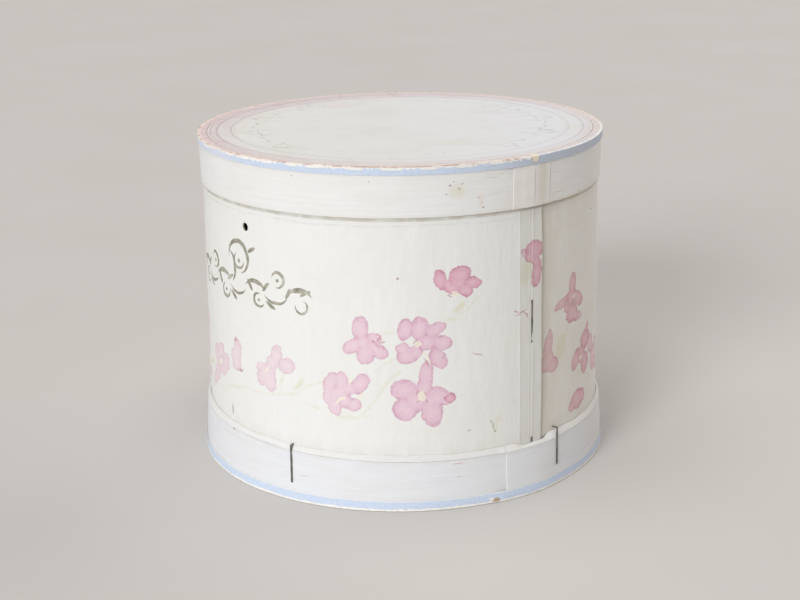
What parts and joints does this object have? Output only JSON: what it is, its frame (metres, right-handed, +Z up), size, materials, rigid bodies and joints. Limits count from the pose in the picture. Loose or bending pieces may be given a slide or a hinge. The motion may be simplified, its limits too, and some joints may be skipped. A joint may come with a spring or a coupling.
{
  "type": "hat box",
  "caption": "Round paperboard hat box with a lapped, stapled wall, a shallow flared base tray, and a lift-off lid with a rim; two punched cord holes below the lid.",
  "frame": {"origin": "on the surface the box stands on, in the middle of its round base", "axes": "+Z up along the box's axis; the two cord holes lie on the Y axis, the printed front hole at -Y; the wall's stapled seam is at +X"},
  "size_m": [0.311, 0.3098, 0.243],
  "materials": {
    "printed_wall_board": "matte",
    "white_hoop_board": "matte",
    "grey_base_board": "matte",
    "blue_edge_paper": "matte",
    "staple_wire": "satin",
    "grey_lid_board": "matte",
    "white_rim_board": "matte",
    "printed_lid_paper": "matte",
    "blue_lid_edge_paper": "matte"
  },
  "bodies": {
    "box_body": {"body_wall": "printed_wall_board", "base_disc": "grey_base_board", "base_hoop": "white_hoop_board", "base_edge_binding": "blue_edge_paper", "seam_staple_low": "staple_wire", "seam_staple_middle": "staple_wire", "seam_staple_top": "staple_wire", "hoop_staple_1": "staple_wire", "hoop_staple_2": "staple_wire", "hoop_staple_3": "staple_wire", "hoop_staple_4": "staple_wire"},
    "lid": {"lid_disc": "grey_lid_board", "lid_rim": "white_rim_board", "lid_top_paper": "printed_lid_paper", "lid_edge_binding": "blue_lid_edge_paper"}
  },
  "joints": [
    {"name": "lid_lift", "type": "slide", "parent": "box_body", "child": "lid", "axis": [0, 0, 1], "range_m": [0, 0.26]}
  ]
}
